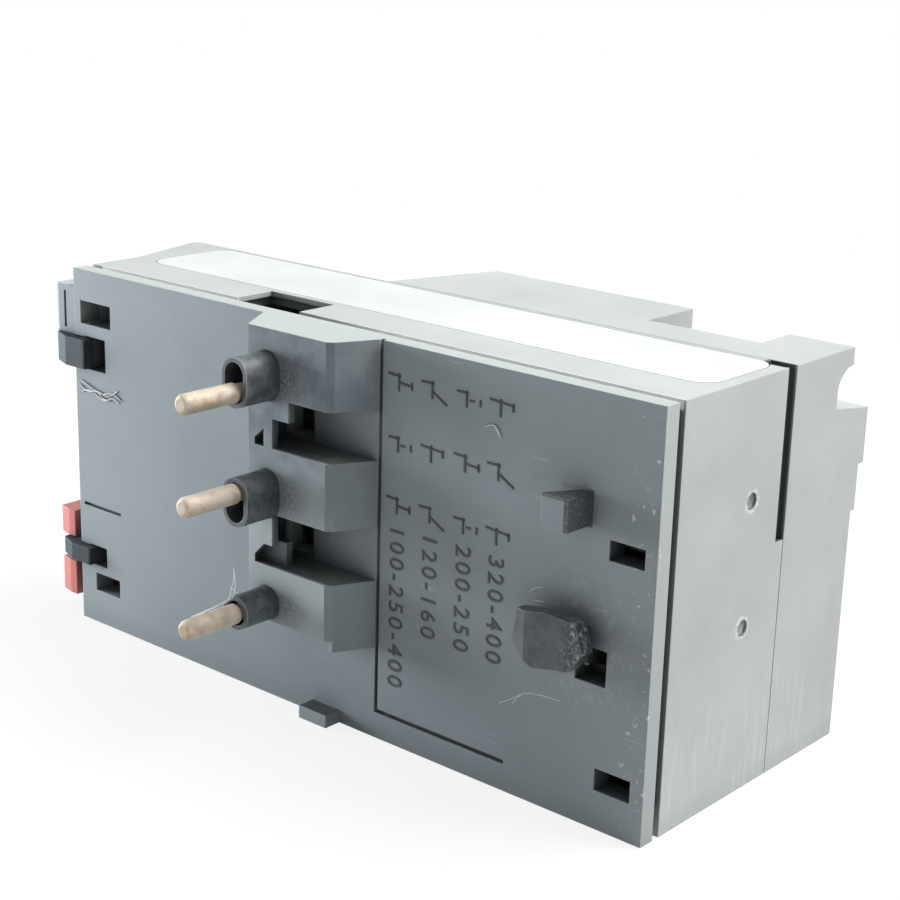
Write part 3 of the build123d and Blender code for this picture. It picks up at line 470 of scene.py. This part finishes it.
# Moulded marks and plain numbers
class Marks:
    """Collects strokes and figures that stand proud of one flat face, as one piece."""

    def __init__(self, origin, right, up):
        self.origin, self.right, self.up = Vector(origin), Vector(right).normalized(), Vector(up).normalized()
        self.out = self.right.cross(self.up)
        self.vertices, self.faces = [], []

    def place(self, x, y, z):
        """Point of the frame from a place on the face and a height above it, in mm."""
        return self.origin + (x * self.right + y * self.up + z * self.out) * MM

    def stroke(self, x0, y0, x1, y1, wide=0.34, tall=0.1):
        """Ridge from one point to another, a little narrower at its top, in mm."""
        along = Vector((x1 - x0, y1 - y0)).normalized()
        side = Vector((-along.y, along.x))
        first = len(self.vertices)
        for half, height in ((wide / 2, -0.02), (wide / 2 - 0.06, tall)):
            for (x, y), way in (((x0, y0), -1), ((x1, y1), 1)):
                for turn in (-1, 1):
                    edge = Vector((x, y)) + way * half * along + turn * half * side
                    self.vertices.append(self.place(edge.x, edge.y, height))
        quads = [(0, 1, 3, 2), (4, 6, 7, 5), (0, 2, 6, 4), (2, 3, 7, 6), (3, 1, 5, 7), (1, 0, 4, 5)]
        self.faces += [tuple(first + k for k in quad) for quad in quads]

    def text(self, words, x, y, size, turn=0.0, thick=0.05, spacing=1.0):
        """Plain figures, centred on a point of the face."""
        curve = bpy.data.curves.new("words", "FONT")
        curve.body, curve.size, curve.extrude = words, size * MM, thick * MM
        curve.align_x, curve.align_y = "CENTER", "CENTER"
        curve.resolution_u = 3
        curve.space_character = spacing
        holder = bpy.data.objects.new("words", curve)
        mesh = bpy.data.meshes.new_from_object(holder)
        first = len(self.vertices)
        cos, sin = math.cos(turn), math.sin(turn)
        for vertex in mesh.vertices:
            px, py, pz = (value / MM for value in vertex.co)
            self.vertices.append(self.place(x + px * cos - py * sin, y + px * sin + py * cos, pz + thick / 2))
        self.faces += [tuple(first + k for k in face.vertices) for face in mesh.polygons]
        bpy.data.objects.remove(holder)

    def make(self, name, body, material):
        mesh = bpy.data.meshes.new(name)
        mesh.from_pydata(self.vertices, [], self.faces)
        add_piece(name, mesh, material, body)


# Legend beside the pins: three rows of contact signs over four columns of plain figures, and the
# height in the middle of each column's figures. Each sign is a list of strokes (x0, z0, x1, z1).
COLUMNS = (33.2, 28.6, 24.0, 19.6)
ROWS = (40.9, 34.2, 27.5)
FIGURES = (("100-250-400", 16.1), ("120-160", 19.7), ("200-250", 19.6), ("320-400", 19.6))
SIGNS = (
    ((-1.4, 0.8, 0.1, 0.7), (0.0, 0.9, 0.0, -0.8), (0.2, 0.0, 1.8, -0.1), (1.8, 0.2, 1.8, -0.4)),
    ((-1.4, 0.8, 0.1, 0.8), (0.0, 0.9, 0.0, -0.7), (0.1, -0.1, 1.9, -1.1)),
    ((-1.2, 0.7, 0.1, 0.7), (0.0, 0.8, 0.0, -0.7), (0.5, 0.0, 0.9, 0.0), (1.8, 0.2, 1.8, -0.3)),
    ((-1.3, 0.7, 1.6, 0.5), (0.0, 0.8, 0.0, -0.8), (1.6, 0.6, 1.6, 0.0)),
)
face = Marks(at(0, 0, 0), (1, 0, 0), (0, 0, 1))
for row, z in enumerate(ROWS):
    for column, back in enumerate(COLUMNS):
        for x0, z0, x1, z1 in SIGNS[(2 * row + column) % len(SIGNS)]:
            face.stroke(-back + x0, z + z0, -back + x1, z + z1, 0.3)
for back, (words, z) in zip(COLUMNS, FIGURES):
    face.text(words, -back, z, 2.9, -math.pi / 2, spacing=1.25)
face.make("legend_marks", "housing", relief)

# Scale round the dial, under the clear cover: its ticks reach from one radius to the other
SCALE_IN, SCALE_OUT = 3.4, 3.8
scale = Marks(at(88.9, 8.1, 22.4), (0, 0, -1), (0, -1, 0))
for degrees in range(-120, 121, 40):
    turn = math.radians(degrees)
    x, y = math.sin(turn), math.cos(turn)
    scale.stroke(SCALE_IN * x, SCALE_IN * y, SCALE_OUT * x, SCALE_OUT * y, 0.16, 0.03)
for words, x in (("1", 5.0), ("4", -5.0)):
    scale.text(words, x, 0.0, 1.6)
scale.make("dial_scale", "housing", ink)

# Terminal numbers beside the screw wells
slope = (at(51.8, 36.0, 0) - at(53.8, 29.5, 0)).normalized()
power = Marks(at(52.12, 35.0, 0), (0, 0, -1), -slope)
for words, z in (("2", 8.2), ("4", 22.5), ("6", 36.8)):
    power.text(words, -z, 0.0, 1.7)
power.make("power_numbers", "housing", ink)


# Stray fibres
WANDER = 0.25


def lint(name, threads, seed, thick=0.055):
    """Pale fibres; each thread is a list of points in mm, which are moved a little at random."""
    rng = random.Random(seed)
    curve = bpy.data.curves.new(name, "CURVE")
    curve.dimensions = "3D"
    curve.bevel_depth, curve.bevel_resolution = thick * MM, 1
    for points in threads:
        spline = curve.splines.new("NURBS")
        spline.points.add(len(points) - 1)
        for target, (back, y, z) in zip(spline.points, points):
            place = at(back + rng.uniform(-WANDER, WANDER), y, z + rng.uniform(-WANDER, WANDER))
            target.co = (*place, 1.0)
        spline.order_u = 3
        spline.use_endpoint_u = True
    holder = bpy.data.objects.new(name, curve)
    mesh = bpy.data.meshes.new_from_object(holder)
    bpy.data.objects.remove(holder)
    add_piece(name, mesh, fibre, "housing")


lint("lint_edge", [
    [(85.8, -0.08, 31.2), (84.2, -0.2, 30.8), (82.0, -0.08, 30.2), (79.7, -0.15, 30.7), (78.4, -0.08, 30.2)],
    [(85.8, -0.08, 30.7), (84.4, -0.1, 29.8), (82.4, -0.2, 30.8), (80.6, -0.1, 29.6), (78.8, -0.08, 31.0)],
    [(85.6, -0.08, 30.0), (83.8, -0.1, 30.6), (81.8, -0.1, 29.4), (80.1, -0.08, 29.8)],
    [(82.4, -0.08, 30.0), (81.0, -0.2, 29.1), (79.8, -0.1, 30.1), (78.6, -0.08, 29.4)],
], 3, 0.075)
lint("lint_pin", [
    [(47.6, -16.0, 15.3), (47.4, -13.5, 15.4), (47.6, -11.0, 15.6), (47.5, -9.9, 16.3), (47.7, -9.6, 18.6)],
    [(47.8, -15.0, 15.3), (47.9, -12.5, 15.6), (47.4, -10.5, 15.9), (48.6, -9.7, 17.0)],
    [(47.5, -9.7, 16.2), (48.1, -9.9, 17.0), (47.2, -10.2, 17.9), (47.6, -9.9, 19.6)],
], 5)
lint("lint_scratch", [
    [(18.6, 0.0, 9.6), (16.7, 0.0, 10.6), (15.5, 0.0, 11.7), (12.5, 0.0, 12.3), (10.6, 0.0, 12.5)],
    [(16.9, 0.0, 10.2), (16.2, 0.0, 11.2), (15.4, 0.0, 11.6)],
    [(15.2, 0.0, 23.0), (14.2, 0.0, 23.5), (13.2, 0.0, 23.6)],
    [(14.6, 0.0, 22.2), (13.6, 0.0, 22.4), (12.9, 0.0, 22.3)],
], 21, 0.035)
lint("lint_legend", [
    [(21.6, -0.05, 38.4), (20.6, -0.2, 39.1), (19.9, -0.15, 38.9), (19.2, -0.05, 38.0)],
    [(20.2, -0.1, 39.0), (19.6, -0.2, 38.2), (19.7, -0.05, 37.9)],
], 8)


# Floor: plain and pale, a little below the object. Light gets less back from it than the camera sees.
# Away from the object it turns into the plain white of the background.
FLOOR_SIZE = 4.0
FLOOR_DROP = 0.0001
FLOOR_LIT = (0.55, 0.55, 0.55)
FLOOR_SEEN = (0.95, 0.95, 0.95)
FADE_START, FADE_END = 0.07, 0.30
GLOW_SHARE = (0.84, 1.0)

floor_mat = bpy.data.materials.new("floor")
tree = Tree(floor_mat)
seen = tree.seen()
diffuse = tree.add("ShaderNodeBsdfDiffuse")
tree.link(tree.mix(seen, FLOOR_LIT, FLOOR_SEEN), diffuse.inputs["Color"])
glow = tree.add("ShaderNodeEmission")
socket(glow, "Strength", 1.0)
away = tree.add("ShaderNodeVectorMath", operation="LENGTH")
tree.link(tree.add("ShaderNodeTexCoord").outputs["Object"], away.inputs[0])
share = tree.maths("MULTIPLY", seen, tree.ramp(away.outputs["Value"], FADE_START, FADE_END, *GLOW_SHARE))
blend = tree.add("ShaderNodeMixShader")
for source, target in zip((share, diffuse.outputs[0], glow.outputs[0]), blend.inputs):
    tree.link(source, target)
tree.link(blend.outputs[0], tree.add("ShaderNodeOutputMaterial").inputs["Surface"])

half = FLOOR_SIZE / 2
corners = [(-half, -half), (half, -half), (half, half), (-half, half)]
floor_mesh = bpy.data.meshes.new("floor")
floor_mesh.from_pydata([(x, y, -FLOOR_DROP) for x, y in corners], [], [(0, 1, 2, 3)])
floor_mesh.materials.append(floor_mat)
floor = bpy.data.objects.new("floor", floor_mesh)
bpy.context.scene.collection.objects.link(floor)

# World: white to camera, gloss and glass; for other light dim and cool towards the pin face, brighter behind
AMBIENT = (0.035, 0.9)
COOL = (0.86, 0.97, 1.15)
WHITE = (1.0, 1.0, 1.0)

world = bpy.data.worlds.new("studio")
bpy.context.scene.world = world
tree = Tree(world)
seen = tree.seen()
direction = tree.add("ShaderNodeSeparateXYZ")
tree.link(tree.add("ShaderNodeTexCoord").outputs["Generated"], direction.inputs[0])
ambient = tree.ramp(direction.outputs[1], -1.0, 1.0, *AMBIENT)
strength = tree.add("ShaderNodeMix")
tree.link(seen, strength.inputs[0])
tree.link(ambient, strength.inputs[2])
strength.inputs[3].default_value = 1.0
sky = tree.add("ShaderNodeBackground")
tree.link(strength.outputs[0], sky.inputs["Strength"])
tree.link(tree.mix(tree.maths("MAXIMUM", seen, ambient), COOL, WHITE), sky.inputs["Color"])
tree.link(sky.outputs[0], tree.add("ShaderNodeOutputWorld").inputs["Surface"])


def lamp(name, place, target, size, watts, colour=WHITE):
    """Soft rectangular lamp that looks at a target."""
    data = bpy.data.lights.new(name, "AREA")
    data.shape = "RECTANGLE"
    data.size, data.size_y = size
    data.energy, data.color = watts, colour
    obj = bpy.data.objects.new(name, data)
    bpy.context.scene.collection.objects.link(obj)
    obj.location = place
    obj.rotation_mode = "QUATERNION"
    obj.rotation_quaternion = (Vector(target) - Vector(place)).to_track_quat("-Z", "Y")
    obj.visible_camera = False


lamp("key", (0.30, 0.27, 0.60), (0.0, 0.0, 0.02), (0.45, 0.45), 6.8)
lamp("left", (-0.25, -0.075, 0.02), (-0.03, -0.01, 0.02), (0.10, 0.14), 1.05, (0.93, 0.99, 1.05))

# Camera, solved from the straight edges of the photograph; the focal length is in its pixels
AZIMUTH, ELEVATION, ROLL = math.radians(40.695), math.radians(16.633), math.radians(1.616)
TARGET = at(53.791, 32.262, 22.5)
DISTANCE = 232.673 * MM
FOCAL = 1852.754
PICTURE = 900
SENSOR = 36.0
back_dir = Vector((math.sin(AZIMUTH) * math.cos(ELEVATION), -math.cos(AZIMUTH) * math.cos(ELEVATION),
                   math.sin(ELEVATION)))
right = Vector((0, 0, 1)).cross(back_dir).normalized()
up = back_dir.cross(right)
rolled_right = math.cos(ROLL) * right + math.sin(ROLL) * up
rolled_up = -math.sin(ROLL) * right + math.cos(ROLL) * up
camera_data = bpy.data.cameras.new("camera")
camera_data.sensor_width = SENSOR
camera_data.lens = FOCAL / PICTURE * SENSOR
camera_data.clip_start, camera_data.clip_end = 0.01, 10.0
camera = bpy.data.objects.new("camera", camera_data)
bpy.context.scene.collection.objects.link(camera)
turn = Matrix((rolled_right, rolled_up, back_dir)).transposed().to_4x4()
camera.matrix_world = Matrix.Translation(TARGET + back_dir * DISTANCE) @ turn
bpy.context.scene.camera = camera
bpy.context.scene.view_settings.view_transform = "Standard"
